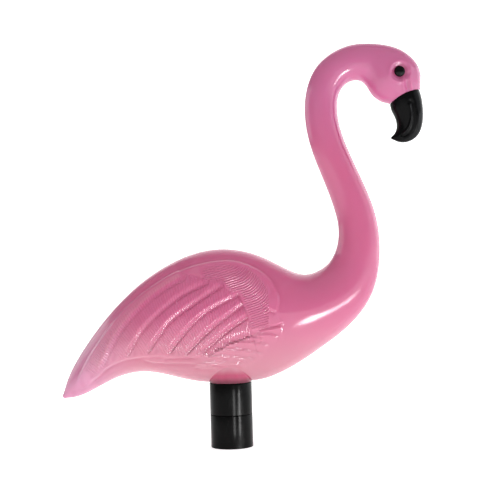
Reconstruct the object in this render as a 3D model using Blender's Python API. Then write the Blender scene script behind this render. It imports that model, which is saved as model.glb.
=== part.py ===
# Solar garden light in the form of a flamingo, on a two-part black collar.
# The bird faces +X and is the same on both sides of the plane Y = 0. The origin is the centre
# of the pole collar's open foot, which sits over a ground stake.

import bpy
import bmesh
import numpy as np
from math import cos, pi, radians, sin
from mathutils import Matrix

# Driving sizes, in metres
bird_length = 0.2430            # tip of the tail to the front of the beak
bird_width = 0.0566             # across the smooth body at its widest, under the feathers
feather_step = 0.0015           # how far one feather stands over the next
feather_groove = 0.0007         # depth of the line beside a feather's edge
eye_diameter = 0.0072
eye_depth = 0.0040              # thickness of the bead, through the face
eye_sink = 0.0002               # the bead's middle lies this far behind the eye hollow's floor
collar_diameter = 0.0280
lamp_collar_height = 0.0213
pole_collar_height = 0.0215
pole_wall = 0.0020              # of the pole collar, round the socket for the stake
boss_wall = 0.0020              # of the boss, round the lamp collar's spigot
spigot_height = 0.0040
plug_height = 0.0030            # on the lamp collar, down inside the pole collar
foot_bevel = 0.0005
touch_gap = 0.0003              # between pieces that touch

# The side view is drawn in millimetres for a bird of this length and width. Every size below
# that has no unit of its own is in the drawing's millimetres
drawn_length = 243.0
drawn_width = 57.6
drawn_seat = 43.3               # height of the boss's foot in the drawing
unit = bird_length / drawn_length
unit_across = bird_width / drawn_width

socket_radius = collar_diameter / 2 - pole_wall
recess_radius = collar_diameter / 2 - boss_wall
lamp_collar_foot = pole_collar_height + touch_gap
lamp_collar_top = lamp_collar_foot + lamp_collar_height
boss_seat = lamp_collar_top + touch_gap

# Each station is one section of the bird, from the tail over the back to the beak:
# X and Z on the back, X and Z on the belly side, half width, and how far the section is
# a keel (1) instead of an ellipse (0)
bird_stations = [
    (-110.4, 38.4, -109.0, 35.4, 1.7, 0.2),
    (-108.6, 44.0, -102.8, 36.0, 4.6, 0.4),
    (-104.9, 52.8, -92.1, 39.8, 9.5, 0.6),
    (-94.9, 69.1, -75.4, 47.9, 15.8, 0.8),
    (-79.4, 88.9, -55.6, 51.4, 21.6, 1.0),
    (-59.6, 108.0, -36.3, 47.6, 25.6, 1.0),
    (-35.3, 123.2, -17.0, 43.6, 28.0, 1.0),
    (-8.9, 130.7, 2.5, 43.5, 28.8, 1.0),
    (17.6, 127.1, 22.5, 44.7, 28.2, 1.0),
    (38.5, 116.9, 46.0, 55.0, 26.4, 1.0),
    (51.0, 112.7, 65.0, 67.3, 23.8, 0.9),
    (61.2, 115.5, 81.2, 80.1, 20.4, 0.6),
    (68.0, 121.0, 92.4, 94.0, 16.8, 0.3),
    (72.3, 129.3, 98.4, 108.5, 14.6, 0.1),
    (73.9, 138.0, 100.7, 124.0, 13.7, 0.0),
    (73.6, 146.0, 100.6, 138.5, 13.1, 0.0),
    (71.9, 153.9, 97.8, 154.0, 12.6, 0.0),
    (68.3, 165.5, 90.8, 173.0, 11.9, 0.0),
    (62.1, 182.1, 83.5, 189.9, 11.4, 0.0),
    (57.3, 196.2, 78.8, 202.2, 11.1, 0.0),
    (54.4, 210.5, 76.0, 213.4, 10.9, 0.0),
    (54.0, 224.5, 75.4, 223.5, 10.8, 0.0),
    (57.0, 239.2, 77.1, 231.8, 10.9, 0.0),
    (63.5, 250.6, 80.4, 236.5, 11.2, 0.0),
    (72.7, 258.1, 84.2, 239.0, 11.5, 0.0),
    (84.5, 262.9, 88.6, 239.7, 11.5, 0.0),
    (96.5, 263.8, 92.4, 238.6, 11.6, 0.0),
    (107.5, 262.6, 95.6, 235.0, 12.4, 0.0),
    (116.5, 259.9, 98.6, 230.0, 12.9, 0.0),
    (124.0, 254.9, 102.8, 226.3, 12.6, 0.0),
    (129.0, 248.7, 106.6, 224.5, 11.6, 0.0),
    (131.2, 241.0, 109.7, 223.6, 10.3, 0.0),
    (130.7, 233.4, 111.4, 220.6, 9.0, 0.0),
    (130.2, 226.0, 113.0, 216.0, 7.8, 0.0),
]

# The beak's sections, from inside the face down to the hooked tip, in the same columns
beak_stations = [
    (127.2, 239.5, 107.0, 229.5, 9.4, 0.0),
    (129.6, 232.9, 110.1, 223.6, 9.5, 0.0),
    (131.3, 226.6, 111.2, 219.2, 9.2, 0.0),
    (132.0, 219.6, 112.9, 215.6, 8.6, 0.0),
    (131.8, 212.6, 114.1, 211.8, 7.8, 0.0),
    (130.3, 206.2, 114.3, 208.0, 6.7, 0.0),
    (126.8, 201.0, 113.4, 204.9, 5.4, 0.0),
    (121.0, 198.1, 112.1, 203.1, 3.9, 0.0),
    (115.4, 198.3, 111.1, 202.1, 2.3, 0.0),
    (111.9, 199.8, 110.4, 201.3, 1.0, 0.0),
]

# The beak meets the face on a round arc, convex towards the eye
joint_centre = (133.6, 197.7)
joint_radius = 34.7

# Everything below is drawn as it looks from the side, from this far off and level with this
# point: what stands nearer to the viewer looks further out from there than it is
view_distance = 800.0
view_centre = (15.3, 129.4)

# The face: a hollow round the eye, a groove from the eye down to the beak, and a full cheek
eye_centre = (117.6, 245.0)
hollow_depth = 1.0
hollow_floor = 2.5              # radius of the hollow's floor
hollow_rim = 7.0                # radius where it meets the face
lore_path = ((123.0, 243.5), (121.8, 240), (122.2, 235), (123.0, 231))
lore_depth = 1.1
lore_width = 1.9
cheek_centre = (108.5, 235.5)
cheek_rise = 1.3
cheek_reach = 12.0

# The ridge along each side of the beak, with a shallow line on its outer side
ridge_path = ((123.6, 221), (124.2, 215), (123, 209.8), (118.5, 204.5))
ridge_rise = 0.45
ridge_width = 0.9
ridge_line_depth = 0.55
ridge_line_width = 1.2
ridge_line_offset = 2.2

# Edges where one layer of plumage stands over the next, each a path of points with its raised
# side on the left
primary_edges = [
    ((-88, 51), (-80, 66), (-70, 82), (-50, 101), (-30, 113)),
    ((-71, 60), (-64, 70.5), (-55, 82.5), (-35, 99.5), (-15, 109.5)),
    ((-57, 63), (-45, 78.5), (-35, 88.5), (-15, 101.5), (-5, 107.5)),
    ((-43, 62), (-30, 77.5), (-20, 87), (-10, 93.5), (5, 101)),
    ((-32, 61), (-20, 73), (-10, 81.5), (0, 88.5), (9, 95)),
    ((-20, 63), (-5, 75.5), (5, 82.5), (12, 86)),
    ((-16, 61.5), (-5, 69), (2, 72), (14, 76)),
]
wing_edges = [
    ((31.5, 88), (33, 95), (32, 102), (24, 113.5), (10, 121), (-6, 122.8), (-30, 117.5),
     (-50, 107), (-70, 91), (-90, 66), (-104, 42)),
    ((-28, 115), (-4, 109), (7, 101), (12, 88), (15, 75)),
    ((-100, 43), (-88, 50), (-70, 59.5), (-50, 62.5), (-32, 61), (-16, 60.5)),
]
small_feather_edges = [
    ((-5, 67.5), (8, 69.8), (24, 67.5)),
    ((-12, 63.5), (3, 65.5), (19, 62)),
    ((-18, 61), (-2, 60.4), (14, 58)),
    ((-22, 57), (-6, 56.6), (8, 55.5)),
    ((15, 74), (25, 74.8), (34, 83)),
    ((23, 94), (28, 88.5), (31.5, 88)),
]
# Edges, their share of the step's height, and how far the height runs out behind them
plumage_layers = [
    (primary_edges, 1.0, 6.0),
    (wing_edges, 0.8, 9.0),
    (small_feather_edges, 0.6, 3.0),
]
edge_half_width = 1.1           # of the slope from the step down to the groove
groove_run_out = 2.0
edge_fade = 0.08                # share of an edge's length over which each end fades away
relief_facing = (0.12, 0.5)     # sideways part of the normal, from no relief to all of it

tail_bulge = 1.4                # how far the rounded ends stand past the first sections
beak_bulge = 0.7
ring_step = 1.4                 # between sections
ring_sides = 104
keel_power = 1.6                # superellipse exponent of a full keel; 2 is an ellipse
keel_waist = 0.45               # where a keeled section is widest, from back to belly
bird_triangles_kept = 0.09      # share of the fine mesh that is left
beak_triangles_kept = 0.11
boss_reach = 30.0               # how far the boss goes up into the body
round_sides = 64


# Natural cubic spline through rows of values, read at the parameters asked for
def smooth_through(knots, rows, at):
    knots = np.asarray(knots, float)
    rows = np.asarray(rows, float)
    gaps = np.diff(knots)
    count = len(knots)
    matrix = np.eye(count)
    right = np.zeros_like(rows)
    for i in range(1, count - 1):
        matrix[i, i - 1:i + 2] = gaps[i - 1], 2 * (gaps[i - 1] + gaps[i]), gaps[i]
        right[i] = 6 * ((rows[i + 1] - rows[i]) / gaps[i] - (rows[i] - rows[i - 1]) / gaps[i - 1])
    bend = np.linalg.solve(matrix, right)
    span = np.clip(np.searchsorted(knots, at) - 1, 0, count - 2)
    gap = gaps[span][:, None]
    after = (np.asarray(at) - knots[span])[:, None] / gap
    before = 1 - after
    straight = before * rows[span] + after * rows[span + 1]
    curved = (before ** 3 - before) * bend[span] + (after ** 3 - after) * bend[span + 1]
    return straight + curved * gap ** 2 / 6


# Finer sections from the stations, spaced evenly along the middle line
def sections_between(stations, step):
    rows = np.array(stations, float)
    middle = (rows[:, 0:2] + rows[:, 2:4]) / 2
    knots = np.concatenate([[0], np.cumsum(np.linalg.norm(np.diff(middle, axis=0), axis=1))])
    at = np.linspace(0, knots[-1], int(knots[-1] / step) + 1)
    return smooth_through(knots, rows, at)


# One section as a ring of points: round or keeled, widest between back and belly
def ring_points(section):
    back = section[0:2]
    belly = section[2:4]
    half_width = section[4]
    keel = min(max(section[5], 0.0), 1.0)
    waist = 0.5 + (keel_waist - 0.5) * keel
    centre = back + (belly - back) * waist
    points = []
    for k in range(ring_sides):
        turn = 2 * pi * k / ring_sides
        power = 2 + (keel_power - 2) * keel if cos(turn) < 0 else 2.0
        along = abs(cos(turn)) ** (2 / power)
        across = abs(sin(turn)) ** (2 / power)
        reach = (back - centre) if cos(turn) > 0 else (belly - centre)
        x, z = centre + reach * along
        points.append((x, half_width * across * (1 if sin(turn) > 0 else -1), z))
    return points


# A closed skin through a row of sections, each end drawn in to a rounded point
def skin(sections, end_bulge):
    mesh = bmesh.new()
    rings = []
    first, second = sections[0], sections[1]
    outwards = (first[0:2] + first[2:4]) / 2 - (second[0:2] + second[2:4]) / 2
    outwards = outwards / np.linalg.norm(outwards)
    middle = (first[0:2] + first[2:4]) / 2
    for share in (0.9, 0.6):
        shrunk = first.copy()
        scale = (1 - share ** 2) ** 0.5
        shift = outwards * end_bulge * share
        shrunk[0:2] = middle + (first[0:2] - middle) * scale + shift
        shrunk[2:4] = middle + (first[2:4] - middle) * scale + shift
        shrunk[4] = first[4] * scale
        rings.append(ring_points(shrunk))
    rings.extend(ring_points(section) for section in sections)
    loops = [[mesh.verts.new(point) for point in ring] for ring in rings]
    for one, other in zip(loops, loops[1:]):
        for k in range(ring_sides):
            n = (k + 1) % ring_sides
            mesh.faces.new((one[k], one[n], other[n], other[k]))
    tip = middle + outwards * end_bulge
    ends = ((loops[0], (tip[0], 0.0, tip[1])),
            (loops[-1], tuple(np.mean([v.co for v in loops[-1]], axis=0))))
    for loop, point in ends:
        pole = mesh.verts.new(point)
        for k in range(ring_sides):
            mesh.faces.new((loop[k], loop[(k + 1) % ring_sides], pole))
    bmesh.ops.recalc_face_normals(mesh, faces=mesh.faces)
    return mesh


# Signed distance of side-view points to a path (left is positive), and the share along it
def distance_to(points, path):
    path = np.asarray(path, float)
    lengths = np.linalg.norm(np.diff(path, axis=0), axis=1)
    starts = np.concatenate([[0], np.cumsum(lengths)])
    nearest = np.full(len(points), np.inf)
    side = np.ones(len(points))
    share = np.zeros(len(points))
    for start, end, length, begun in zip(path, path[1:], lengths, starts):
        along = (end - start) / length
        offset = points - start
        run = np.clip(offset @ along, 0, length)
        away = np.linalg.norm(offset - run[:, None] * along, axis=1)
        closer = away < nearest
        cross = along[0] * offset[:, 1] - along[1] * offset[:, 0]
        nearest[closer] = away[closer]
        side[closer] = np.sign(cross[closer])
        share[closer] = (begun + run[closer]) / starts[-1]
    return nearest * side, share


def ease(low, high, value):
    t = np.clip((value - low) / (high - low), 0, 1)
    return t * t * (3 - 2 * t)


# Height of the plumage over the smooth body at side-view points
def plumage_height(points):
    step = feather_step / unit
    groove = feather_groove / unit
    height = np.zeros(len(points))
    for edges, share, run_out in plumage_layers:
        for edge in edges:
            knots = np.arange(len(edge))
            path = smooth_through(knots, edge, np.linspace(0, knots[-1], 12 * len(edge)))
            away, along = distance_to(points, path)
            fade = ease(0, edge_fade, along) * ease(0, edge_fade, 1 - along)
            raised = step * np.exp(-np.maximum(away, 0) / run_out)
            sunk = -groove * np.exp(np.minimum(away, 0) / groove_run_out)
            slope = ease(-edge_half_width, edge_half_width, away)
            height += share * fade * (sunk + (raised - sunk) * slope)
    return height


def face_height(points):
    from_eye = np.linalg.norm(points - np.array(eye_centre), axis=1)
    hollow = -hollow_depth * (1 - ease(hollow_floor, hollow_rim, from_eye))
    groove, along = distance_to(points, lore_path)
    lore = -lore_depth * np.exp(-(groove / lore_width) ** 2)
    from_cheek = np.linalg.norm(points - np.array(cheek_centre), axis=1)
    cheek = cheek_rise * (1 - ease(1.0, cheek_reach, from_cheek))
    return hollow + lore + cheek


def beak_height(points):
    away, along = distance_to(points, ridge_path)
    ridge = ridge_rise * np.exp(-(away / ridge_width) ** 2)
    line = ridge_line_depth * np.exp(-((away - ridge_line_offset) / ridge_line_width) ** 2)
    return ridge - line


# Where points of the body are seen in the side view
def seen(points):
    nearer = view_distance / (view_distance - np.abs(points[:, 1:2]))
    return view_centre + (points[:, [0, 2]] - view_centre) * nearer


# Moves a skin out along its own surface by a height read from the side view
def carve(mesh, height_at):
    mesh.normal_update()
    heights = height_at(seen(np.array([vertex.co for vertex in mesh.verts])))
    moves = []
    for vertex, height in zip(mesh.verts, heights):
        facing = float(ease(*relief_facing, abs(vertex.normal.y)))
        moves.append(vertex.normal * float(height) * facing)
    for vertex, move in zip(mesh.verts, moves):
        vertex.co += move


def side_half_width(sections, point):
    rings = np.array([ring_points(section) for section in sections]).reshape(-1, 3)
    gap = np.hypot(rings[:, 0] - point[0], rings[:, 2] - point[1])
    return float(np.abs(rings[gap < 1.5][:, 1]).max())


# Real place of a point of the drawing
def placed(x, z):
    return x * unit, boss_seat + (z - drawn_seat) * unit


def surface(name, colour, roughness, metallic=0.0):
    material = bpy.data.materials.new(name)
    material.use_nodes = True
    shader = material.node_tree.nodes["Principled BSDF"]
    shader.inputs["Base Color"].default_value = (*colour, 1.0)
    shader.inputs["Roughness"].default_value = roughness
    shader.inputs["Metallic"].default_value = metallic
    material.diffuse_color = (*colour, 1.0)
    return material


def new_object(name, mesh, material=None):
    data = bpy.data.meshes.new(name)
    mesh.to_mesh(data)
    mesh.free()
    data.shade_smooth()
    data.set_sharp_from_angle(angle=radians(35))
    item = bpy.data.objects.new(name, data)
    bpy.context.scene.collection.objects.link(item)
    if material:
        data.materials.append(material)
    return item


# A round solid about the vertical axis, from its profile of radius and height
def turned(name, profile, material=None):
    mesh = bmesh.new()
    points = [mesh.verts.new((radius, 0.0, height)) for radius, height in profile]
    edges = [mesh.edges.new(pair) for pair in zip(points, points[1:] + points[:1])]
    bmesh.ops.spin(mesh, geom=points + edges, cent=(0, 0, 0), axis=(0, 0, 1),
                   angle=2 * pi, steps=round_sides, use_merge=True)
    bmesh.ops.remove_doubles(mesh, verts=mesh.verts, dist=1e-7)
    bmesh.ops.dissolve_degenerate(mesh, edges=mesh.edges, dist=1e-7)
    bmesh.ops.recalc_face_normals(mesh, faces=mesh.faces)
    return new_object(name, mesh, material)


def cylinder(name, radius, low, high):
    mesh = bmesh.new()
    bmesh.ops.create_cone(mesh, cap_ends=True, segments=round_sides, radius1=radius,
                          radius2=radius, depth=high - low,
                          matrix=Matrix.Translation((0, 0, (low + high) / 2)))
    return new_object(name, mesh)


# Real place of a point that is seen in the side view, this far out to the side
def placed_aside(point, aside):
    nearer = 1 - aside / view_distance
    return placed(*(np.array(view_centre) + (np.array(point) - view_centre) * nearer))


# A flattened ball at the eye's place on one side, bigger by the margin all round
def bead(name, side, margin, material=None):
    mesh = bmesh.new()
    bmesh.ops.create_uvsphere(mesh, u_segments=16, v_segments=8, radius=1.0)
    radius = eye_diameter / 2 + margin
    bmesh.ops.scale(mesh, vec=(radius, radius, eye_depth / 2 + margin), verts=mesh.verts)
    bmesh.ops.rotate(mesh, cent=(0, 0, 0), matrix=Matrix.Rotation(pi / 2, 3, "X"),
                     verts=mesh.verts)
    item = new_object(name, mesh, material)
    x, z = placed_aside(eye_centre, eye_half_width / unit_across)
    item.location = (x, side * (eye_half_width - eye_sink), z)
    return item


# The round arc of the beak's joint, as a cylinder across the face
def joint_cylinder(name, margin):
    item = cylinder(name, joint_radius * unit + margin, -bird_width, bird_width)
    x, z = placed(*joint_centre)
    item.location = (x, 0, z)
    item.rotation_euler = (pi / 2, 0, 0)
    return item


def combine(item, tool, operation):
    change = item.modifiers.new(tool.name, "BOOLEAN")
    change.operation = operation
    change.solver = "EXACT"
    change.object = tool
    tool.hide_render = True
    tool.display_type = "WIRE"


def to_real_size(mesh):
    for vertex in mesh.verts:
        x, z = placed(vertex.co.x, vertex.co.z)
        vertex.co = (x, vertex.co.y * unit_across, z)


def make_flamingo(material):
    mesh = skin(bird_sections, tail_bulge)
    carve(mesh, lambda points: plumage_height(points) + face_height(points))
    to_real_size(mesh)
    flamingo = new_object("flamingo", mesh, material)
    thin = flamingo.modifiers.new("fewer triangles", "DECIMATE")
    thin.ratio = bird_triangles_kept
    thin.use_symmetry = True
    thin.symmetry_axis = "Y"
    boss_top = placed(0, drawn_seat + boss_reach)[1]
    combine(flamingo, cylinder("boss", collar_diameter / 2, boss_seat, boss_top), "UNION")
    recess_top = boss_seat + spigot_height
    recess = cylinder("spigot recess", recess_radius, boss_seat - spigot_height, recess_top)
    combine(flamingo, recess, "DIFFERENCE")
    combine(flamingo, joint_cylinder("beak seat", touch_gap), "DIFFERENCE")
    for side, name in ((-1, "right eye seat"), (1, "left eye seat")):
        combine(flamingo, bead(name, side, touch_gap), "DIFFERENCE")


def make_beak(material):
    mesh = skin(sections_between(beak_stations[::-1], ring_step), beak_bulge)
    carve(mesh, beak_height)
    to_real_size(mesh)
    beak = new_object("beak", mesh, material)
    thin = beak.modifiers.new("fewer triangles", "DECIMATE")
    thin.ratio = beak_triangles_kept
    thin.use_symmetry = True
    thin.symmetry_axis = "Y"
    combine(beak, joint_cylinder("beak root", 0.0), "INTERSECT")


# Solid collar with a spigot above, in the boss, and a plug below, in the pole collar
def make_lamp_collar(material):
    outer = collar_diameter / 2
    spigot = recess_radius - touch_gap
    plug = socket_radius - touch_gap
    spigot_top = lamp_collar_top + spigot_height - touch_gap
    turned("lamp_collar", [
        (0, lamp_collar_foot - plug_height), (plug, lamp_collar_foot - plug_height),
        (plug, lamp_collar_foot), (outer, lamp_collar_foot), (outer, lamp_collar_top),
        (spigot, lamp_collar_top), (spigot, spigot_top), (0, spigot_top)], material)


# Plain tube, open at its foot for the stake
def make_pole_collar(material):
    outer = collar_diameter / 2
    turned("pole_collar", [
        (outer - foot_bevel, 0), (outer, foot_bevel), (outer, pole_collar_height),
        (socket_radius, pole_collar_height), (socket_radius, 0)], material)


for old in list(bpy.data.objects):
    bpy.data.objects.remove(old, do_unlink=True)

bird_sections = sections_between(bird_stations, ring_step)
eye_half_width = (side_half_width(bird_sections, eye_centre) - hollow_depth) * unit_across

make_flamingo(surface("pink plastic", (0.60, 0.16, 0.29), 0.28))
make_beak(surface("black beak plastic", (0.012, 0.012, 0.013), 0.42))
eye_gloss = surface("gloss black eye", (0.008, 0.007, 0.007), 0.08)
bead("eye_right", -1, 0.0, eye_gloss)
bead("eye_left", 1, 0.0, eye_gloss)
collar_black = surface("black collar plastic", (0.011, 0.011, 0.011), 0.3)
make_lamp_collar(collar_black)
make_pole_collar(collar_black)
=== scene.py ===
from math import pi, radians

import bpy
import numpy as np
from mathutils import Matrix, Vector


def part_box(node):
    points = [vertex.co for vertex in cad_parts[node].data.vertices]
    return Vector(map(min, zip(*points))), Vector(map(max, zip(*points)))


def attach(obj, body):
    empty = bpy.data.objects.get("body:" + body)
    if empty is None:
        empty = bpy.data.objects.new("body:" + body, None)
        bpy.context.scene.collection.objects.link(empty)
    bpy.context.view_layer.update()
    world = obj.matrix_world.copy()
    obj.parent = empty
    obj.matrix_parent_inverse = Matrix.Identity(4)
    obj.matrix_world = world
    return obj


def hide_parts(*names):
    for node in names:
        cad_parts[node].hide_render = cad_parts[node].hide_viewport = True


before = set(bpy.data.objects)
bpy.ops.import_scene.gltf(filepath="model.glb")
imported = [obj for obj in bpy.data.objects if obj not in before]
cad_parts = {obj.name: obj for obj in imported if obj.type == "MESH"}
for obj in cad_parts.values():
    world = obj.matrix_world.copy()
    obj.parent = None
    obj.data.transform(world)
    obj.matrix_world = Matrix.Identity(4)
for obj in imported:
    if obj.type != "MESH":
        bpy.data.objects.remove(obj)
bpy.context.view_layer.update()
bpy.ops.object.select_all(action="DESELECT")
print("frame loaded:", ", ".join(sorted(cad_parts)))


# sRGB hex to the linear colour that shaders take
def linear(hexColour, alpha=1.0):
    parts = [int(hexColour[i:i + 2], 16) / 255 for i in (0, 2, 4)]
    even = [p / 12.92 if p <= 0.04045 else ((p + 0.055) / 1.055) ** 2.4 for p in parts]
    return (*even, alpha)


# Adds one node with its settings and its links, each given by socket name
def addNode(tree, kind, settings=None, values=None, links=None):
    node = tree.nodes.new(kind)
    for key, value in (settings or {}).items():
        setattr(node, key, value)
    for key, value in (values or {}).items():
        node.inputs[key].default_value = value
    for key, source in (links or {}).items():
        tree.links.new(source, node.inputs[key])
    return node


def newMaterial(name, values):
    material = bpy.data.materials.new(name)
    material.use_nodes = True
    shader = material.node_tree.nodes["Principled BSDF"]
    for key, value in values.items():
        shader.inputs[key].default_value = value
    return material, material.node_tree, shader


# Camera: level with the middle of the bird, rolled as the photograph is
cameraPlace = {"x": 0.0153, "distance": 0.8, "height": 0.1295, "lens": 87.0, "roll": -1.6}
bpy.ops.object.camera_add(
    location=(cameraPlace["x"], -cameraPlace["distance"], cameraPlace["height"]))
camera = bpy.context.object
camera.data.lens = cameraPlace["lens"]
camera.data.sensor_width = 36.0
turned = Matrix.Rotation(pi / 2, 4, "X") @ Matrix.Rotation(radians(cameraPlace["roll"]), 4, "Z")
camera.rotation_euler = turned.to_euler()
bpy.context.scene.camera = camera

# The bird, as sections drawn in millimetres at life size, from the tail over the back to the
# beak: X and Z on the back, X and Z on the belly side, half width, keel (1) or ellipse (0)
birdShape = {
    "stations": [
        (-110.4, 38.4, -109.0, 35.4, 1.7, 0.2),
        (-108.6, 44.0, -102.8, 36.0, 4.6, 0.4),
        (-104.9, 52.8, -92.1, 39.8, 9.5, 0.6),
        (-94.9, 69.1, -75.4, 47.9, 15.8, 0.8),
        (-79.4, 88.9, -55.6, 51.4, 21.6, 1.0),
        (-59.6, 108.0, -36.3, 47.6, 25.6, 1.0),
        (-35.3, 123.2, -17.0, 43.6, 28.0, 1.0),
        (-8.9, 130.7, 2.5, 43.5, 28.8, 1.0),
        (17.6, 127.1, 22.5, 44.7, 28.2, 1.0),
        (38.5, 116.9, 46.0, 55.0, 26.4, 1.0),
        (51.0, 112.7, 65.0, 67.3, 23.8, 0.9),
        (61.2, 115.5, 81.2, 80.1, 20.4, 0.6),
        (68.0, 121.0, 92.4, 94.0, 16.8, 0.3),
        (72.3, 129.3, 98.4, 108.5, 14.6, 0.1),
        (73.9, 138.0, 100.7, 124.0, 13.7, 0.0),
        (73.6, 146.0, 100.6, 138.5, 13.1, 0.0),
        (71.9, 153.9, 97.8, 154.0, 12.6, 0.0),
        (68.3, 165.5, 90.8, 173.0, 11.9, 0.0),
        (62.1, 182.1, 83.5, 189.9, 11.4, 0.0),
        (57.3, 196.2, 78.8, 202.2, 11.1, 0.0),
        (54.4, 210.5, 76.0, 213.4, 10.9, 0.0),
        (54.0, 224.5, 75.4, 223.5, 10.8, 0.0),
        (57.0, 239.2, 77.1, 231.8, 10.9, 0.0),
        (63.5, 250.6, 80.4, 236.5, 11.2, 0.0),
        (72.7, 258.1, 84.2, 239.0, 11.5, 0.0),
        (84.5, 262.9, 88.6, 239.7, 11.5, 0.0),
        (96.5, 263.8, 92.4, 238.6, 11.6, 0.0),
        (107.5, 262.6, 95.6, 235.0, 12.4, 0.0),
        (116.5, 259.9, 98.6, 230.0, 12.9, 0.0),
        (124.0, 254.9, 102.8, 226.3, 12.6, 0.0),
        (129.0, 248.7, 106.6, 224.5, 11.6, 0.0),
        (131.2, 241.0, 109.7, 223.6, 10.3, 0.0),
        (130.7, 233.4, 111.4, 220.6, 9.0, 0.0),
        (130.2, 226.0, 113.0, 216.0, 7.8, 0.0),
    ],
    "keelPower": 1.6,
    "keelWaist": 0.45,
    "widthShare": 0.0566 / 0.0576,      # real width over the drawn one
    "seat": 43.3,                       # height of the boss's foot in the drawing
    "sides": 132,
    # spacing of the sections along the middle line: place, spacing
    "spacing": [(0, 0.9), (20, 1.05), (150, 1.1), (180, 2.2), (325, 2.2), (350, 0.9),
                (420, 0.55)],
    "tipBulge": 1.4,                    # of the tail's rounded end
    "bossReach": 30.0,                  # how far the boss goes up inside the belly
    "bossSides": 160,
}
beakShape = {
    "stations": [
        (127.2, 239.5, 107.0, 229.5, 9.4, 0.0),
        (129.6, 232.9, 110.1, 223.6, 9.5, 0.0),
        (131.3, 226.6, 111.2, 219.2, 9.2, 0.0),
        (132.0, 219.6, 112.9, 215.6, 8.6, 0.0),
        (131.8, 212.6, 114.1, 211.8, 7.8, 0.0),
        (130.3, 206.2, 114.3, 208.0, 6.7, 0.0),
        (126.8, 201.0, 113.4, 204.9, 5.4, 0.0),
        (121.0, 198.1, 112.1, 203.1, 3.9, 0.0),
        (115.4, 198.3, 111.1, 202.1, 2.3, 0.0),
        (111.9, 199.8, 110.4, 201.3, 1.0, 0.0),
    ],
    "jointCentre": (133.6, 197.7),
    "jointRadius": 34.7,
    "jointGap": 0.12,
    "ridge": ((123.4, 223), (124.1, 215), (123.2, 210.5), (121.5, 206.8), (118.8, 204.3)),
    "ridgeSize": (0.8, 0.6),            # height and width
    "ridgeLine": (0.5, 2.0, 1.1),       # depth, distance and width of the line beside it
    "edge": ((129.2, 220), (128.5, 212), (127, 205.5), (124, 202.5), (120, 200.8)),
    "edgeSize": (0.4, 0.9),             # height and width
    "shoulder": 0.7,                    # rounding of the beak's upper edge
    "lip": 0.35,                        # rounding of the face's edge beside it
    "sides": 120,
    "spacing": [(0, 0.45), (60, 0.45)],
    "tipBulge": 0.7,
}
# Face and plumage are drawn as they look from the side, from this far off and level with this
# point: what stands nearer to the viewer looks further out from there than it is
sideView = {"distance": 800.0, "centre": (15.3, 129.4)}
flank = (0.12, 0.5)     # relief fades out where the skin turns from the side by this much
faceShape = {
    "eye": (117.6, 245.0),
    "hollow": (1.8, 2.5, 7.0),          # depth, radius of its floor, radius of its rim
    "socket": (1.5, 2.2, 3.3),          # the same for the seat of the bead
    "rim": (0.7, 7.0, 1.1),             # height, radius and width of the raised rim
    "lore": ((123.2, 243.5), (121.9, 240), (122.3, 235), (123.2, 230)),
    "loreSize": (1.2, 1.3),             # depth and width of the groove from eye to beak
    "loreEdges": (0.6, 2.5, 0.75),      # height, distance and width of the ridges beside it
    "cheek": (108.5, 235.5),
    "cheekSize": (0.6, 12.0),           # height and reach
    "temple": ((99.5, 252), (98, 245), (97.5, 238)),
    "templeSize": (0.7, 5.0),           # depth and width of the valley between head and neck
}

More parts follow.
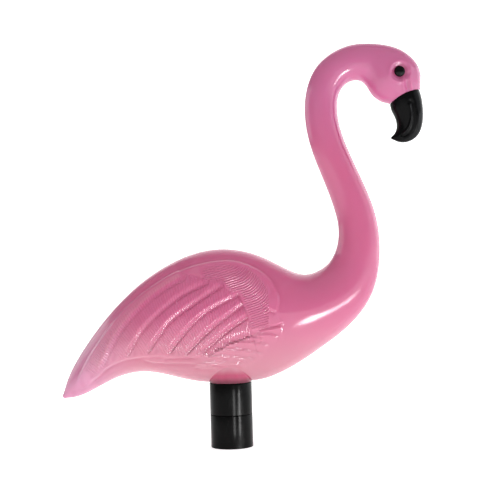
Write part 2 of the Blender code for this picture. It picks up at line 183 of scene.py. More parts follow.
# Edges where one layer of plumage stands over the next, in millimetres. Each path has its raised
# side on the left: a rolled edge of the height given, which runs out behind it, over a groove.
# It fades over the first and last shares of its length
plumage = {
    "primaries": {
        "height": 0.66, "roll": 3.6, "runOut": 4.6, "groove": 0.7, "grooveRunOut": 3.0,
        "fade": (0.1, 0.015),
        "paths": [
            ((-89, 49.5), (-80, 66), (-70, 82), (-50, 101), (-30, 113)),
            ((-71, 60), (-64, 70.5), (-55, 82.5), (-35, 99.5), (-15, 109.5)),
            ((-57, 63), (-45, 78.5), (-35, 88.5), (-15, 101.5), (-5, 107.5)),
            ((-43, 62), (-30, 77.5), (-20, 87), (-10, 93.5), (7, 101.5)),
            ((-32, 61), (-20, 73), (-10, 81.5), (0, 88.5), (9.5, 95)),
            ((-20, 63), (-5, 75.5), (5, 82.5), (12.5, 87)),
        ],
    },
    "lastFeather": {
        "height": 0.25, "roll": 3.0, "runOut": 3.0, "groove": 0.1, "grooveRunOut": 2.0,
        "fade": (0.1, 0.1),
        "paths": [((-16, 62), (-5, 68.5), (4, 72), (14, 75.5))],
    },
    "wing": {
        "height": 0.8, "roll": 2.4, "runOut": 9.0, "groove": 0.4, "grooveRunOut": 3.0,
        "fade": (0.05, 0.06),
        "paths": [
            ((31.5, 88), (33, 95), (32, 102), (24, 113.5), (10, 121), (-6, 122.8), (-30, 117.5),
             (-50, 107), (-70, 91), (-90, 66), (-104, 42)),
            ((-93, 45), (-82, 54), (-72, 59), (-60, 61), (-47, 61.5), (-32, 60), (-18, 60)),
        ],
    },
    "coverts": {
        "height": 0.4, "roll": 2.2, "runOut": 7.0, "groove": 0.3, "grooveRunOut": 2.0,
        "fade": (0.06, 0.04),
        "paths": [
            ((-28, 115.5), (-15, 112), (-4, 110.5), (0, 104.5), (8, 101), (10, 94), (12.5, 88),
             (13.5, 82), (15, 75)),
            ((27, 99), (26, 105), (20, 113), (14, 118)),
            ((22, 95), (26, 91), (31.5, 88)),
        ],
    },
    "shelves": {
        "height": 0.5, "roll": 1.4, "runOut": 3.0, "groove": 0.4, "grooveRunOut": 1.4,
        "fade": (0.2, 0.2),
        "paths": [
            ((-58, 59.5), (-50, 57.2), (-42, 57)),
            ((-46, 58.8), (-35, 59.8), (-22, 59.3)),
            ((-48, 56.3), (-30, 56.0), (-15, 54.6), (2, 53)),
            ((-25, 53), (-16, 52.3), (-8, 51)),
            ((26, 79.3), (31, 79.5), (36, 82)),
        ],
    },
    # leaves of down under the wing, whose upper edges stand out
    "down": {
        "height": 0.8, "roll": 2.0, "runOut": 2.2, "groove": 0.3, "grooveRunOut": 1.0,
        "fade": (0.12, 0.18),
        "paths": [
            ((27, 66.4), (18, 68.5), (5, 69.4), (-8, 66.6)),
            ((23, 60.4), (13, 63.2), (-1, 65.0), (-15, 62.6)),
            ((18, 57.4), (2, 59.6), (-8, 60.4), (-20, 60.6)),
            ((12, 54.8), (0, 55.9), (-12, 56.6), (-24, 57.0)),
            ((23, 70.6), (16, 72.4), (9, 71.0)),
            ((33, 71.8), (26, 74.2), (16, 73.8)),
            ((35, 78.6), (26, 77.4), (18, 75.4)),
        ],
    },
}
# Fine ribs on the feathers: pitch in millimetres, and how they lean from each feather's crest
# towards the shoulder, as shift along the crest per millimetre away from it
ribLook = {
    "primaryPitch": 1.75, "outerLean": -0.22, "innerLean": -0.36,
    "overhang": -2.6,                   # how far a feather's ribs reach past its crest
    "covertPitch": 1.52, "covertTurn": 16.0, "covertDepth": 2.2,
    "covertSweep": (17.0, 0.7, 0.024),  # where they bend down, how much earlier higher up, bend
}


# Natural cubic spline through rows of values, read at the places asked for
def smoothThrough(knots, rows, at):
    knots = np.asarray(knots, float)
    rows = np.asarray(rows, float)
    gaps = np.diff(knots)
    count = len(knots)
    matrix = np.eye(count)
    right = np.zeros_like(rows)
    for i in range(1, count - 1):
        matrix[i, i - 1:i + 2] = gaps[i - 1], 2 * (gaps[i - 1] + gaps[i]), gaps[i]
        right[i] = 6 * ((rows[i + 1] - rows[i]) / gaps[i] - (rows[i] - rows[i - 1]) / gaps[i - 1])
    bend = np.linalg.solve(matrix, right)
    span = np.clip(np.searchsorted(knots, at) - 1, 0, count - 2)
    gap = gaps[span][:, None]
    after = (np.asarray(at) - knots[span])[:, None] / gap
    before = 1 - after
    straight = before * rows[span] + after * rows[span + 1]
    curved = (before ** 3 - before) * bend[span] + (after ** 3 - after) * bend[span + 1]
    return straight + curved * gap ** 2 / 6


def ease(low, high, value):
    t = np.clip((value - low) / (high - low), 0, 1)
    return t * t * (3 - 2 * t)


# Sections between the stations, closer together where the spacing asks for it
def sectionsBetween(stations, spacing):
    rows = np.array(stations, float)
    middle = (rows[:, 0:2] + rows[:, 2:4]) / 2
    knots = np.concatenate([[0], np.cumsum(np.linalg.norm(np.diff(middle, axis=0), axis=1))])
    fine = np.linspace(0, knots[-1], 4000)
    step = np.interp(fine, *zip(*spacing))
    counted = np.concatenate([[0], np.cumsum(np.diff(fine) / ((step[1:] + step[:-1]) / 2))])
    at = np.interp(np.linspace(0, counted[-1], int(counted[-1]) + 1), counted, fine)
    return smoothThrough(knots, rows, at)


# Rings of points round each section, with more of them on the flanks than on back and belly
def ringGrid(sections, sides, crowd=0.25):
    even = 2 * pi * np.arange(sides) / sides
    turn = even + crowd * np.sin(2 * even)
    c, s = np.cos(turn), np.sin(turn)
    back, belly = sections[:, None, 0:2], sections[:, None, 2:4]
    keel = np.clip(sections[:, 5], 0, 1)[:, None]
    waist = 0.5 + (birdShape["keelWaist"] - 0.5) * keel
    centre = back + (belly - back) * waist[:, :, None]
    power = np.where(c[None, :] < 0, 2 + (birdShape["keelPower"] - 2) * keel, 2.0)
    along = np.abs(c)[None, :] ** (2 / power)
    across = np.abs(s)[None, :] ** (2 / power) * np.sign(s)[None, :]
    reach = np.where(c[None, :, None] > 0, back - centre, belly - centre)
    sideView = centre + reach * along[:, :, None]
    width = sections[:, 4][:, None] * across
    return np.stack([sideView[:, :, 0], width, sideView[:, :, 1]], axis=2)


# Where points of the drawing are seen in the side view
def seenFromSide(points):
    centre = np.array(sideView["centre"])
    nearer = sideView["distance"] / (sideView["distance"] - np.abs(points[:, 1:2]))
    return centre + (points[:, [0, 2]] - centre) * nearer


# Outward direction at every point of a grid of rings
def gridNormals(grid):
    ahead = np.gradient(grid, axis=0)
    around = np.roll(grid, -1, axis=1) - np.roll(grid, 1, axis=1)
    normals = np.cross(ahead, around)
    normals /= np.maximum(np.linalg.norm(normals, axis=2, keepdims=True), 1e-9)
    outward = grid - grid.mean(axis=1, keepdims=True)
    flip = np.sign((normals * outward).sum(axis=(1, 2)))
    return normals * flip[:, None, None]


# Signed distance of side-view points to a path (left is positive), and the share along it
def distanceTo(points, path):
    path = np.asarray(path, float)
    lengths = np.linalg.norm(np.diff(path, axis=0), axis=1)
    starts = np.concatenate([[0], np.cumsum(lengths)])
    nearest = np.full(len(points), np.inf)
    side = np.ones(len(points))
    share = np.zeros(len(points))
    for start, end, length, begun in zip(path, path[1:], lengths, starts):
        along = (end - start) / length
        offset = points - start
        run = np.clip(offset @ along, 0, length)
        away = np.linalg.norm(offset - run[:, None] * along, axis=1)
        closer = away < nearest
        cross = along[0] * offset[:, 1] - along[1] * offset[:, 0]
        nearest[closer] = away[closer]
        side[closer] = np.sign(cross[closer])
        share[closer] = (begun + run[closer]) / starts[-1]
    return nearest * side, share


# A drawn path as a smooth one of many short spans
def smoothPath(points, perSpan=5):
    knots = np.arange(len(points))
    return smoothThrough(knots, points, np.linspace(0, knots[-1], perSpan * len(points)))


# Height of the plumage over the smooth body
def plumageHeight(points):
    height = np.zeros(len(points))
    for layer in plumage.values():
        reach = 4 * max(layer["runOut"], layer["grooveRunOut"])
        for edge in layer["paths"]:
            path = smoothPath(edge)
            inside = (points > path.min(axis=0) - reach) & (points < path.max(axis=0) + reach)
            near = inside.all(axis=1)
            away, along = distanceTo(points[near], path)
            fade = ease(0, layer["fade"][0], along) * ease(0, layer["fade"][1], 1 - along)
            half = layer["roll"] / 2
            rolled = ease(-half, half, away)
            behind = np.exp(-np.maximum(away - half, 0) / layer["runOut"])
            before = np.exp(np.minimum(away + half, 0) / layer["grooveRunOut"])
            raised = layer["height"] * rolled * behind
            sunk = layer["groove"] * (1 - rolled) * before
            height[near] += fade * (raised - sunk)
    return height


# Phase of the fine ribs in turns, and how deep they are from 0 to 1
def ribField(points):
    x, z = points[:, 0], points[:, 1]
    outline, lower, covert, leaf = [
        distanceTo(points, smoothPath(path))[0]
        for path in plumage["wing"]["paths"][:2] + plumage["coverts"]["paths"][:2]]
    phase = np.zeros(len(points))
    # the ribs fade out over these few millimetres beside each edge of the wing
    depth = ease(1.0, 3.0, outline) * ease(0.5, 2.5, lower)
    depth *= ease(0.2, 0.8, -covert) * ease(20, 16, x)
    feathers = plumage["primaries"]["paths"] + plumage["lastFeather"]["paths"]
    for i in reversed(range(len(feathers))):
        path = smoothPath(feathers[i])
        away, along = distanceTo(points, path)
        length = np.linalg.norm(np.diff(path, axis=0), axis=1).sum()
        lean = ribLook["outerLean"] if i == 0 else ribLook["innerLean"]
        phase = np.where(away > ribLook["overhang"], along * length + lean * away, phase)
    phase /= ribLook["primaryPitch"]
    turn = radians(ribLook["covertTurn"])
    begin, earlier, bend = ribLook["covertSweep"]
    beyond = np.maximum(x - begin + earlier * np.maximum(z - 95, 0), 0)
    swept = z * np.cos(turn) - x * np.sin(turn) - bend * beyond ** 2 * ease(86, 94, z)
    covertDepth = ease(0.3, 1.0, covert) * ease(1.5, 3.5, outline) * ease(0.3, 1.3, leaf)
    covertDepth *= ease(76, 79, z) * ease(-18, -14, x)
    phase = np.where(covert > 0, swept / ribLook["covertPitch"], phase)
    return phase, np.where(covert > 0, covertDepth * ribLook["covertDepth"], depth)


# The hollow round the eye with the bead's socket, the groove from eye to beak between its two
# ridges, the full cheek, and the valley between head and neck
def faceHeight(points):
    fromEye = np.linalg.norm(points - np.array(faceShape["eye"]), axis=1)
    height = np.zeros(len(points))
    for name in ("hollow", "socket"):
        depth, floorRadius, rimRadius = faceShape[name]
        height -= depth * (1 - ease(floorRadius, rimRadius, fromEye))
    rise, radius, width = faceShape["rim"]
    height += rise * np.exp(-((fromEye - radius) / width) ** 2)
    away, along = distanceTo(points, smoothPath(faceShape["lore"]))
    depth, width = faceShape["loreSize"]
    height -= depth * np.exp(-(away / width) ** 2)
    rise, offset, width = faceShape["loreEdges"]
    height += rise * np.exp(-((np.abs(away) - offset) / width) ** 2) * ease(0, 0.35, along)
    rise, reach = faceShape["cheekSize"]
    fromCheek = np.linalg.norm(points - np.array(faceShape["cheek"]), axis=1)
    height += rise * (1 - ease(1.0, reach, fromCheek))
    away = distanceTo(points, smoothPath(faceShape["temple"]))[0]
    depth, width = faceShape["templeSize"]
    return height - depth * np.exp(-(away / width) ** 2)


# The ridge that follows the cutting edge on each side of the beak, with a shallow line beside
# it, and the edge inside the front
def beakHeight(points):
    away = distanceTo(points, smoothPath(beakShape["ridge"]))[0]
    rise, width = beakShape["ridgeSize"]
    height = rise * np.exp(-(away / width) ** 2)
    depth, offset, width = beakShape["ridgeLine"]
    height -= depth * np.exp(-((away - offset) / width) ** 2)
    away, along = distanceTo(points, smoothPath(beakShape["edge"]))
    rise, width = beakShape["edgeSize"]
    return height + rise * np.exp(-(away / width) ** 2) * ease(0, 0.2, along)


# Moves a grid's flanks out or in by the height drawn in the side view
def carve(grid, heightAt):
    normals = gridNormals(grid)
    height = heightAt(seenFromSide(grid.reshape(-1, 3))).reshape(grid.shape[:2])
    facing = ease(*flank, np.abs(normals[:, :, 1]))
    return grid + normals * (height * facing)[:, :, None]


# Rings that draw a section in to a rounded tip
def roundedTip(sections, bulge):
    first, second = sections[0], sections[1]
    middle = (first[0:2] + first[2:4]) / 2
    outwards = middle - (second[0:2] + second[2:4]) / 2
    outwards = outwards / np.linalg.norm(outwards)
    rings = []
    for share in (0.98, 0.88, 0.7, 0.4):
        scale = (1 - share ** 2) ** 0.5
        shrunk = first.copy()
        shift = outwards * bulge * share
        shrunk[0:2] = middle + (first[0:2] - middle) * scale + shift
        shrunk[2:4] = middle + (first[2:4] - middle) * scale + shift
        shrunk[4] = first[4] * scale
        rings.append(shrunk)
    return np.vstack([rings, sections]), middle + outwards * bulge


# Ends a grid on the round joint between face and beak. The lengthwise lines stop on the arc,
# their last stretch drawn in as a rounded edge, and the end face follows the arc to its middle
def endOnJoint(grid, faceSide, gap, rounding, count=7):
    centre = np.array(beakShape["jointCentre"])
    radius = beakShape["jointRadius"] + gap * faceSide
    gone = (np.linalg.norm(grid[:, :, [0, 2]] - centre, axis=2) - radius) * faceSide
    depths = [rounding * (1 - np.cos(pi / 2 * i / (count - 1))) for i in range(count)]
    kept = int((gone > 0.9 * rounding + 0.3).all(axis=1).nonzero()[0].max()) + 1
    lines = []
    for k in range(grid.shape[1]):
        order = np.argsort(gone[kept - 1:, k])
        wanted = np.array(depths[::-1])
        lines.append(np.stack([np.interp(wanted, gone[kept - 1:, k][order],
                                         grid[kept - 1:, k, axis][order]) for axis in range(3)],
                              axis=1))
    edge = np.stack(lines, axis=1)
    heart = edge[-1].mean(axis=0)
    for row, depth in enumerate(depths[::-1]):
        inset = rounding - (rounding ** 2 - (rounding - depth) ** 2) ** 0.5
        reach = edge[row] - heart
        size = np.linalg.norm(reach, axis=1, keepdims=True)
        edge[row] = heart + reach * (1 - inset / size)
        edge[row][:, [0, 2]] = ontoArc(edge[row][:, [0, 2]], centre, radius + depth * faceSide)
    faces = []
    for share in (0.85, 0.65, 0.45, 0.25, 0.1):
        ring = heart + (edge[-1] - heart) * share
        ring[:, [0, 2]] = ontoArc(ring[:, [0, 2]], centre, radius)
        faces.append(ring)
    pole = heart.copy()
    pole[[0, 2]] = ontoArc(heart[None, [0, 2]], centre, radius)[0]
    return np.concatenate([grid[:kept], edge, faces]), pole


# Points moved straight out or in to a circle
def ontoArc(points, centre, radius):
    offset = points - centre
    return centre + offset * radius / np.linalg.norm(offset, axis=1, keepdims=True)


# A ball whose rings are moved to the rings of a grid, and its poles to the two ends
def wrappedBall(name, grid, firstPole, lastPole):
    rings, sides = grid.shape[:2]
    bpy.ops.mesh.primitive_uv_sphere_add(segments=sides, ring_count=rings + 1, radius=1.0)
    ball = bpy.context.object
    ball.name = ball.data.name = name
    place = np.empty(len(ball.data.vertices) * 3)
    ball.data.vertices.foreach_get("co", place)
    place = place.reshape(-1, 3)
    ring = np.rint(np.arccos(np.clip(place[:, 2], -1, 1)) / pi * (rings + 1)).astype(int)
    side = np.rint(np.arctan2(place[:, 1], place[:, 0]) / (2 * pi) * sides).astype(int) % sides
    moved = np.empty_like(place)
    inner = (ring > 0) & (ring <= rings)
    moved[inner] = grid[ring[inner] - 1, side[inner]]
    moved[ring == 0] = firstPole
    moved[ring == rings + 1] = lastPole
    ball.data.vertices.foreach_set("co", toLife(moved).ravel())
    ball.data.update()
    outwardNormals(ball)
    return ball


def outwardNormals(item):
    selectOnly(item)
    bpy.ops.object.mode_set(mode="EDIT")
    bpy.ops.mesh.select_all(action="SELECT")
    bpy.ops.mesh.normals_make_consistent(inside=False)
    bpy.ops.object.mode_set(mode="OBJECT")


def selectOnly(item):
    bpy.ops.object.select_all(action="DESELECT")
    item.select_set(True)
    bpy.context.view_layer.objects.active = item


# The drawing's millimetres become metres in the frame, from the CAD nodes' own boxes
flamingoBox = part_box("flamingo")
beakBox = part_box("beak")
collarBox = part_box("lamp_collar")
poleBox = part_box("pole_collar")
birdSections = sectionsBetween(birdShape["stations"], birdShape["spacing"])
beakSections = sectionsBetween(beakShape["stations"], beakShape["spacing"])
drawnLow = birdSections[:, [0, 2]].min()
drawnHigh = beakSections[:, [0, 2]].max()
drawnTop = birdSections[:, [1, 3]].max()
unit = (beakBox[1].x - flamingoBox[0].x) / (drawnHigh - drawnLow)
seatHeight = flamingoBox[1].z - (drawnTop - birdShape["seat"]) * unit


def toLife(points):
    out = np.array(points, float)
    out[..., 0] *= unit
    out[..., 1] *= unit * birdShape["widthShare"]
    out[..., 2] = seatHeight + (out[..., 2] - birdShape["seat"]) * unit
    return out


# Applies a Boolean with another object, which is then removed
def cutWith(item, tool, operation):
    selectOnly(item)
    change = item.modifiers.new("cut", "BOOLEAN")
    change.operation = operation
    change.solver = "EXACT"
    change.object = tool
    bpy.ops.object.modifier_apply(modifier=change.name)
    bpy.data.objects.remove(tool, do_unlink=True)


def smoothShading(item, degrees=35):
    selectOnly(item)
    bpy.ops.object.shade_smooth_by_angle(angle=radians(degrees))


# A mesh's points, and where each is seen in the side view
def pointsOf(item):
    place = np.empty(len(item.data.vertices) * 3)
    item.data.vertices.foreach_get("co", place)
    place = place.reshape(-1, 3)
    drawn = place / unit
    drawn[:, 2] += birdShape["seat"] - seatHeight / unit
    return place, seenFromSide(drawn)


def addAttribute(item, name, values):
    attribute = item.data.attributes.new(name, "FLOAT", "POINT")
    attribute.data.foreach_set("value", np.asarray(values, np.float32))


# Each face on the wings becomes four, then every point moves out by the height of the plumage
def raisePlumage(bird):
    selectOnly(bird)
    bpy.ops.object.mode_set(mode="EDIT")
    selectFaces(bird, lambda face: abs(face.normal.y) > 0.16 and face.center.x < 0.040
                and 0.040 < face.center.z < 0.128 and face.center.x > -0.106)
    bpy.ops.mesh.subdivide(number_cuts=1)
    bpy.ops.object.mode_set(mode="OBJECT")
    place, points = pointsOf(bird)
    normals = np.empty(len(bird.data.vertices) * 3)
    bird.data.vertex_normals.foreach_get("vector", normals)
    normals = normals.reshape(-1, 3)
    facing = ease(*flank, np.abs(normals[:, 1]))
    place += normals * (plumageHeight(points) * facing)[:, None] * unit
    bird.data.vertices.foreach_set("co", place.ravel())
    bird.data.update()


# Body and plumage in one skin, joined to the round boss, with what the material reads: the ribs,
# the relief, which it paints pale on crests as highlight and deep in grooves as shade, the eye's
# socket, where it paints shade, and how near the skin is to the boss's foot, where it paints shade
# that deepens towards the collar
def makeBird():
    grid = ringGrid(birdSections, birdShape["sides"])
    grid = carve(grid, faceHeight)
    tipped, tip = roundedTip(birdSections, birdShape["tipBulge"])
    tipRings = ringGrid(tipped[:4], birdShape["sides"])
    grid, pole = endOnJoint(grid, 1, beakShape["jointGap"], beakShape["lip"])
    grid = np.concatenate([tipRings, grid])
    bird = wrappedBall("flamingoBody", grid, (tip[0], 0, tip[1]), pole)
    raisePlumage(bird)
    radius = (collarBox[1].x - collarBox[0].x) / 2
    low = seatHeight
    high = seatHeight + birdShape["bossReach"] * unit
    bpy.ops.mesh.primitive_cylinder_add(vertices=birdShape["bossSides"], radius=radius,
                                        depth=high - low, location=(0, 0, (low + high) / 2))
    boss = bpy.context.object
    bpy.ops.object.transform_apply()
    cutWith(bird, boss, "UNION")
    place, points = pointsOf(bird)
    phase, depth = ribField(points)
    facing = ease(0.02, 0.2, np.abs(place[:, 1]) / 0.028)
    addAttribute(bird, "ribPhase", phase)
    addAttribute(bird, "ribDepth", depth * facing)
    addAttribute(bird, "relief", plumageHeight(points))
    # the eye's hollow, which the material darkens as painted shade
    fromEye = np.linalg.norm(points - np.array(faceShape["eye"]), axis=1)
    addAttribute(bird, "socket", 1 - ease(4.0, 6.2, fromEye))
    # how near the skin is to the boss's foot, which the material paints as shade
    fromAxis = np.hypot(place[:, 0], place[:, 1]) - radius
    climbed = (place[:, 2] - seatHeight) / 0.0095       # the boss shows 9.5 mm high
    onBoss = 1 - ease(0.0001, 0.0006, fromAxis)
    addAttribute(bird, "footShade", (1 - np.clip(climbed, 0, 1)) * onBoss)
    smoothShading(bird, 30)
    print("bird:", len(bird.data.polygons), "faces")
    return bird


# The beak, whose upper end is rounded over and lies in the joint's arc
def makeBeak():
    grid = ringGrid(beakSections[::-1], beakShape["sides"], 0.0)
    grid = carve(grid, beakHeight)
    tipped, tip = roundedTip(beakSections[::-1], beakShape["tipBulge"])
    tipRings = ringGrid(tipped[:4], beakShape["sides"], 0.0)
    grid, pole = endOnJoint(grid, -1, 0.0, beakShape["shoulder"])
    grid = np.concatenate([tipRings, grid])
    beak = wrappedBall("beakShell", grid, (tip[0], 0, tip[1]), pole)
    smoothShading(beak, 50)
    print("beak:", len(beak.data.polygons), "faces")
    return beak


# A polished bead, flattened through the face, at the place of its CAD node
def makeEye(node, name):
    low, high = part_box(node)
    centre = (low + high) / 2
    bpy.ops.mesh.primitive_uv_sphere_add(segments=64, ring_count=32, radius=1.0, location=centre,
                                         rotation=(pi / 2, 0, 0))
    eye = bpy.context.object
    eye.name = eye.data.name = name
    eye.scale = ((high.x - low.x) / 2, (high.z - low.z) / 2, (high.y - low.y) / 2)
    bpy.ops.object.transform_apply()
    smoothShading(eye)
    return eye


# In edit mode, selects the faces that are chosen by their place or normal
def selectFaces(item, chosen):
    bpy.ops.mesh.select_all(action="DESELECT")
    bpy.ops.object.mode_set(mode="OBJECT")
    for face in item.data.polygons:
        face.select = chosen(face)
    bpy.ops.object.mode_set(mode="EDIT")


def roundEdges(item, width, degrees=40):
    selectOnly(item)
    bevel = item.modifiers.new("round", "BEVEL")
    bevel.width = width
    bevel.segments = 4
    bevel.limit_method = "ANGLE"
    bevel.angle_limit = radians(degrees)
    bpy.ops.object.modifier_apply(modifier=bevel.name)


collarLook = {
    "sides": 160,
    "edge": 0.00025,                    # rounding of the edges
    "wall": 0.0020,                     # round the socket for the stake
    "gap": 0.0003,                      # between the collars, and under the boss
    "step": 0.0023,                     # from the rim in to spigot and plug
}


# The upper collar, with a spigot up into the boss and a plug down into the lower collar
def makeLampCollar():
    radius = (collarBox[1].x - collarBox[0].x) / 2
    bottom = poleBox[1].z + collarLook["gap"]
    top = seatHeight - collarLook["gap"]
    bpy.ops.mesh.primitive_cylinder_add(vertices=collarLook["sides"], radius=radius,
                                        depth=top - bottom, location=(0, 0, (top + bottom) / 2))
    collar = bpy.context.object
    collar.name = collar.data.name = "lampCollar"
    bpy.ops.object.transform_apply()
    bpy.ops.object.mode_set(mode="EDIT")
    selectFaces(collar, lambda face: face.normal.z > 0.9)
    bpy.ops.mesh.inset(thickness=collarLook["step"])
    bpy.ops.mesh.extrude_region_move(
        TRANSFORM_OT_translate={"value": (0, 0, collarBox[1].z - top)})
    selectFaces(collar, lambda face: face.normal.z < -0.9)
    bpy.ops.mesh.inset(thickness=collarLook["step"])
    bpy.ops.mesh.extrude_region_move(
        TRANSFORM_OT_translate={"value": (0, 0, collarBox[0].z - bottom)})
    bpy.ops.object.mode_set(mode="OBJECT")
    roundEdges(collar, collarLook["edge"])
    smoothShading(collar)
    return collar


# The lower collar, a tube open at both ends that takes the stake
def makePoleCollar():
    radius = (poleBox[1].x - poleBox[0].x) / 2
    height = poleBox[1].z - poleBox[0].z
    bpy.ops.mesh.primitive_cylinder_add(vertices=collarLook["sides"], radius=radius, depth=height,
                                        location=(0, 0, height / 2), end_fill_type="NOTHING")
    collar = bpy.context.object
    collar.name = collar.data.name = "poleCollar"
    bpy.ops.object.transform_apply()
    wall = collar.modifiers.new("wall", "SOLIDIFY")
    wall.thickness = collarLook["wall"]
    wall.offset = -1
    bpy.ops.object.modifier_apply(modifier=wall.name)
    roundEdges(collar, collarLook["edge"])
    smoothShading(collar)
    return collar


bird = makeBird()
beak = makeBeak()
eyes = [makeEye("eye_right", "eyeRight"), makeEye("eye_left", "eyeLeft")]
lampCollar = makeLampCollar()
poleCollar = makePoleCollar()


# Translucent pink polypropylene, blow moulded: a glossy skin over a milky wall. Its colour carries
# painted light: paler on the belly and towards the tail end, where light from the bright floor
# comes through, and on the feathers' crests as a painted highlight. It carries painted shade too:
# deeper in grooves, rib valleys and the eye's hollow, and on the boss down to maroon at the collar,
# where the black socket stands behind the wall. It turns lilac towards the head. The eye sees
# crisp, slightly rippled highlights over a soft glow without hard shade
def pinkPlastic():
    look = {
        "wall": "d06b92", "head": "c86f99", "tailLit": "cf8fae", "paleLit": "ca8a99", "deepShade": "a83a62",
        # painted shade on the boss, rose above and maroon at the collar, where the black socket
        # stands behind the wall
        "boss": "bc4a6e", "footShade": "6e1a36",
        "paleLow": 0.046, "paleHigh": 0.095,    # heights from the belly's painted light to the wall's pink
        "headLow": 0.180, "headHigh": 0.235,    # heights from the neck's pink to the head's
        "tailFront": -0.055, "tailBack": -0.105,
        "crests": (0.8, 1.6), "crestHighlightShare": 0.5,        # relief in mm that is painted pale as a highlight
        "grooves": (-0.7, 0.3), "grooveShadeShare": 0.35,    # relief in mm that is painted deep as shade
        # how much painted shade the eye's hollow takes
        "socketShadeShare": 0.5,
        "ribHeight": 0.00010, "ribShade": 0.12,
        "rippleSize": 0.007, "rippleHeight": 0.00008,   # faint waves that moulding leaves
    }
    material, tree, shader = newMaterial("pinkPolypropyleneBlowMoulded", {
        "Roughness": 0.11, "IOR": 1.49, "Subsurface Weight": 0.35,
        "Subsurface Radius": (1.0, 0.35, 0.5), "Subsurface Scale": 0.004})
    place = addNode(tree, "ShaderNodeTexCoord")
    split = addNode(tree, "ShaderNodeSeparateXYZ", links={"Vector": place.outputs["Object"]})
    relief = addNode(tree, "ShaderNodeAttribute", {"attribute_name": "relief"})
    phase = addNode(tree, "ShaderNodeAttribute", {"attribute_name": "ribPhase"})
    depth = addNode(tree, "ShaderNodeAttribute", {"attribute_name": "ribDepth"})
    turns = addNode(tree, "ShaderNodeMath", {"operation": "MULTIPLY"}, {1: 2 * pi},
                    {0: phase.outputs["Fac"]})
    wave = addNode(tree, "ShaderNodeMath", {"operation": "SINE"}, links={0: turns.outputs["Value"]})
    ribs = addNode(tree, "ShaderNodeMath", {"operation": "MULTIPLY"},
                   links={0: wave.outputs["Value"], 1: depth.outputs["Fac"]})
    ripple = addNode(tree, "ShaderNodeTexNoise", {},
                     {"Scale": 1 / look["rippleSize"], "Detail": 1.0},
                     {"Vector": place.outputs["Object"]})
    waves = addNode(tree, "ShaderNodeBump", {}, {"Strength": 1.0, "Distance": look["rippleHeight"]},
                    {"Height": ripple.outputs["Fac"]})
    bump = addNode(tree, "ShaderNodeBump", {}, {"Strength": 1.0, "Distance": look["ribHeight"]},
                   {"Height": ribs.outputs["Value"], "Normal": waves.outputs["Normal"]})
    tree.links.new(bump.outputs["Normal"], shader.inputs["Normal"])

    def blend(share, first, second):
        mix = addNode(tree, "ShaderNodeMixRGB", links={"Fac": share})
        for key, colour in (("Color1", first), ("Color2", second)):
            if isinstance(colour, str):
                mix.inputs[key].default_value = linear(colour)
            else:
                tree.links.new(colour, mix.inputs[key])
        return mix.outputs["Color"]

    def spread(source, low, high, least=0.0, most=1.0):
        node = addNode(tree, "ShaderNodeMapRange", {"interpolation_type": "SMOOTHSTEP"}, {
            "From Min": low, "From Max": high, "To Min": least, "To Max": most}, {"Value": source})
        return node.outputs["Result"]

    height, length = split.outputs["Z"], split.outputs["X"]
    risen = relief.outputs["Fac"]
    socket = addNode(tree, "ShaderNodeAttribute", {"attribute_name": "socket"})
    footShade = addNode(tree, "ShaderNodeAttribute", {"attribute_name": "footShade"})
    # painted light: paler on the belly, lit from the floor below
    colour = blend(spread(height, look["paleLow"], look["paleHigh"]), look["paleLit"], look["wall"])
    for share, tint in (
            (spread(height, look["headLow"], look["headHigh"]), "head"),
            # painted light: paler towards the tail end
            (spread(length, look["tailFront"], look["tailBack"]), "tailLit"),
            # painted highlight on the feathers' crests
            (spread(risen, *look["crests"], 0.0, look["crestHighlightShare"]), "paleLit"),
            # painted shade in the grooves
            (spread(risen, *look["grooves"], look["grooveShadeShare"], 0.0), "deepShade"),
            # painted shade in the rib valleys
            (spread(ribs.outputs["Value"], 0.3, -1.0, 0.0, look["ribShade"]), "deepShade"),
            # painted shade in the eye's hollow
            (spread(socket.outputs["Fac"], 0.0, 1.0, 0.0, look["socketShadeShare"]), "deepShade"),
            # painted shade on the boss, deepening to maroon at the collar
            (spread(footShade.outputs["Fac"], 0.0, 0.5), "boss"),
            (spread(footShade.outputs["Fac"], 0.5, 1.0), "footShade")):
        colour = blend(share, colour, look[tint])
    tree.links.new(colour, shader.inputs["Base Color"])
    return material


# Black plastic that came out of a mould: a deep black with a soft sheen, whose roughness varies a
# little over a faint grain, so that highlights break up slightly. The real grain is finer than
# can show, so it is drawn 1.5 to 2 mm coarse. The eyes are polished, and have none
def blackPlastic(name, colour, roughness, gloss, grainSize, grainHeight):
    material, tree, shader = newMaterial(name, {
        "Base Color": linear(colour), "IOR": 1.5, "Specular IOR Level": gloss})
    place = addNode(tree, "ShaderNodeTexCoord")
    grain = addNode(tree, "ShaderNodeTexNoise", values={"Scale": 1 / grainSize, "Detail": 2.0},
                    links={"Vector": place.outputs["Object"]})
    sheen = addNode(tree, "ShaderNodeMapRange", values={
        "From Min": 0.3, "From Max": 0.7, "To Min": roughness * 0.8, "To Max": roughness * 1.2},
        links={"Value": grain.outputs["Fac"]})
    bump = addNode(tree, "ShaderNodeBump", values={"Strength": 1.0, "Distance": grainHeight},
                   links={"Height": grain.outputs["Fac"]})
    tree.links.new(sheen.outputs["Result"], shader.inputs["Roughness"])
    tree.links.new(bump.outputs["Normal"], shader.inputs["Normal"])
    return material


# name, colour, roughness, gloss, grain size and grain height in metres
materials = {
    "pink_plastic": pinkPlastic(),
    "beak_black": blackPlastic("blackAbsSatinMoulded", "070708", 0.18, 0.09, 0.0015, 0.000006),
    "eye_black": blackPlastic("blackAcrylicPolished", "060506", 0.11, 0.18, 0.0015, 0.0),
    "collar_black": blackPlastic("blackAbsGlossMoulded", "060606", 0.2, 0.08, 0.0020, 0.00001),
}

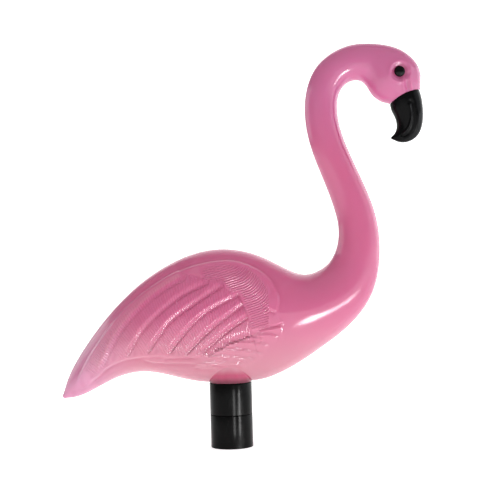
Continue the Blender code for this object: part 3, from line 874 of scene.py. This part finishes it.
for item, node, slotName in (
        (bird, "flamingo", "pink_plastic"), (beak, "beak", "beak_black"),
        (eyes[0], "eye_right", "eye_black"), (eyes[1], "eye_left", "eye_black"),
        (lampCollar, "lamp_collar", "collar_black"), (poleCollar, "pole_collar", "collar_black")):
    item.data.materials.clear()
    item.data.materials.append(materials[slotName])
    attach(item, "root")
    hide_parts(node)
print("pieces dressed")

# Plain pale floor that curves up into a backdrop behind. It gets dimmer far to the left and high
# up, which draws a darker rim round the bird
stageLook = {
    "width": 16.0, "front": -9.0, "back": 1.6, "height": 8.0,
    "bend": 0.8, "bendSteps": 12,
    "glow": 0.66,
    "dimLeft": (-0.6, -1.0), "dimAbove": (1.5, 5.0), "dimGlow": 0.06, "dimPaper": 0.35,
}
bpy.ops.mesh.primitive_plane_add(size=1.0, location=(0, 0, 0))
floor = bpy.context.object
floor.name = floor.data.name = "floor"
bpy.ops.object.mode_set(mode="EDIT")
bpy.ops.mesh.select_all(action="DESELECT")
bpy.ops.object.mode_set(mode="OBJECT")
for vertex in floor.data.vertices:
    vertex.co.x *= stageLook["width"]
    vertex.co.y = stageLook["front"] if vertex.co.y < 0 else stageLook["back"] - stageLook["bend"]
for edge in floor.data.edges:
    ends = [floor.data.vertices[i].co.y for i in edge.vertices]
    edge.select = min(ends) > 0
bpy.ops.object.mode_set(mode="EDIT")
for i in range(stageLook["bendSteps"]):
    turn = pi / 2 * (i + 0.5) / stageLook["bendSteps"]
    length = stageLook["bend"] * pi / 2 / stageLook["bendSteps"]
    bpy.ops.mesh.extrude_region_move(TRANSFORM_OT_translate={
        "value": (0, length * np.cos(turn), length * np.sin(turn))})
bpy.ops.mesh.extrude_region_move(TRANSFORM_OT_translate={"value": (0, 0, stageLook["height"])})
bpy.ops.object.mode_set(mode="OBJECT")
smoothShading(floor)
floorPaint, floorTree, floorShader = newMaterial("paleMattPaper", {
    "Roughness": 0.9, "Emission Color": (1, 1, 1, 1)})
floorPlace = addNode(floorTree, "ShaderNodeTexCoord")
floorParts = addNode(floorTree, "ShaderNodeSeparateXYZ",
                     links={"Vector": floorPlace.outputs["Object"]})
dimmed = [addNode(floorTree, "ShaderNodeMapRange",
                  values={"From Min": stageLook[side][0], "From Max": stageLook[side][1]},
                  links={"Value": floorParts.outputs[axis]})
          for side, axis in (("dimLeft", "X"), ("dimAbove", "Z"))]
dimming = addNode(floorTree, "ShaderNodeMath", {"operation": "MAXIMUM"},
                  links={0: dimmed[0].outputs["Result"], 1: dimmed[1].outputs["Result"]})
for key, low, high in (("Emission Strength", stageLook["glow"], stageLook["dimGlow"]),
                       ("Base Color", 1.0, stageLook["dimPaper"])):
    level = addNode(floorTree, "ShaderNodeMapRange", values={"To Min": low, "To Max": high},
                    links={"Value": dimming.outputs["Value"]})
    floorTree.links.new(level.outputs["Result"], floorShader.inputs[key])
floor.data.materials.append(floorPaint)

# Soft studio light: a wide box on either side for gloss, and softer ones for shade. Two long
# strips and a small card shine up from below the floor, which doesn't hide them, and only show
# as crisp highlights. The two short strips light nothing but the collars
white = (1.0, 1.0, 1.0)
lights = [
    # name, place, turn in degrees, length, width, power, colour, lights matt skin, shows in gloss
    ("softboxRight", (1.3, 0.4, 0.25), (90, 0, 90), 2.0, 1.2, 9.0, (0.90, 0.93, 1.0), False, True),
    ("shadeRight", (0.9, -0.42, 0.06), (90, 0, 65), 0.6, 0.4, 2.5, (0.84, 0.94, 1.0), True, False),
    ("softboxLeft", (-1.3, 0.9, 0.25), (90, 0, -90), 1.6, 1.2, 7.4, (1.0, 1.0, 0.97), False, True),
    ("edgeRight", (1.1, 0.5, 0.2), (90, 0, 114), 0.6, 0.6, 2.0, (0.84, 0.94, 1.0), True, False),
    ("aboveShade", (0, 0, 1.6), (0, 0, 0), 1.0, 1.0, 7.2, (1.0, 0.98, 0.98), True, False),
    ("frontShade", (-0.5, -1.4, 0.5), (76, 0, -20), 1.0, 1.0, 4.9, white, True, False),
    ("longStrip", (1.34, -1.19, -0.82), (125, -32.2, 26.4), 1.26, 0.26, 66.0, white, False, True),
    ("longStripEnd", (1.04, -1.36, -0.99), (123, 0, 36), 0.42, 0.34, 29.0, white, False, True),
    ("cardUnderWing", (0.004, -0.15, -0.004), (118, 0, 0), 0.09, 0.03, 0.008, white, False, True),
    ("stripMiddle", (0.0155, -0.058, 0.0175), (90, 0, 15), 0.008, 0.04, 0.018, white, False, True),
    ("stripRight", (0.0394, -0.0453, 0.0175), (90, 0, 41), 0.008, 0.04, 0.032, white, False, True),
]
collars = bpy.data.collections.new("collars")
collars.objects.link(lampCollar)
collars.objects.link(poleCollar)
pieces = bpy.data.collections.new("pieces")
for item in (bird, beak, eyes[0], eyes[1], lampCollar, poleCollar):
    pieces.objects.link(item)
for name, place, turn, length, width, power, colour, matt, gloss in lights:
    bpy.ops.object.light_add(type="AREA", location=place, rotation=[radians(a) for a in turn])
    lamp = bpy.context.object
    lamp.name = name
    lamp.data.shape = "RECTANGLE"
    lamp.data.size = length
    lamp.data.size_y = width
    lamp.data.energy = power
    lamp.data.color = colour
    lamp.visible_diffuse = matt
    lamp.visible_glossy = gloss
    lamp.visible_camera = False
    if name.startswith("card"):
        lamp.data.spread = radians(40)      # a narrow beam, which misses face and boss
    if name.startswith("strip"):
        lamp.light_linking.receiver_collection = collars
    if place[2] < 0:
        lamp.light_linking.blocker_collection = pieces

# Air that is brighter overhead than at the horizon
airLook = {"horizon": 0.3, "zenith": 0.35}
world = bpy.data.worlds.new("studioAir")
world.use_nodes = True
sky = world.node_tree
heading = addNode(sky, "ShaderNodeTexCoord")
headingParts = addNode(sky, "ShaderNodeSeparateXYZ", links={"Vector": heading.outputs["Generated"]})
glow = addNode(sky, "ShaderNodeMapRange", values={
    "From Min": 0.0, "From Max": 0.8, "To Min": airLook["horizon"], "To Max": airLook["zenith"]},
    links={"Value": headingParts.outputs["Z"]})
sky.nodes["Background"].inputs["Color"].default_value = (1, 1, 1, 1)
sky.links.new(glow.outputs["Result"], sky.nodes["Background"].inputs["Strength"])
bpy.context.scene.world = world
bpy.context.scene.view_settings.view_transform = "Standard"
print("studio ready")
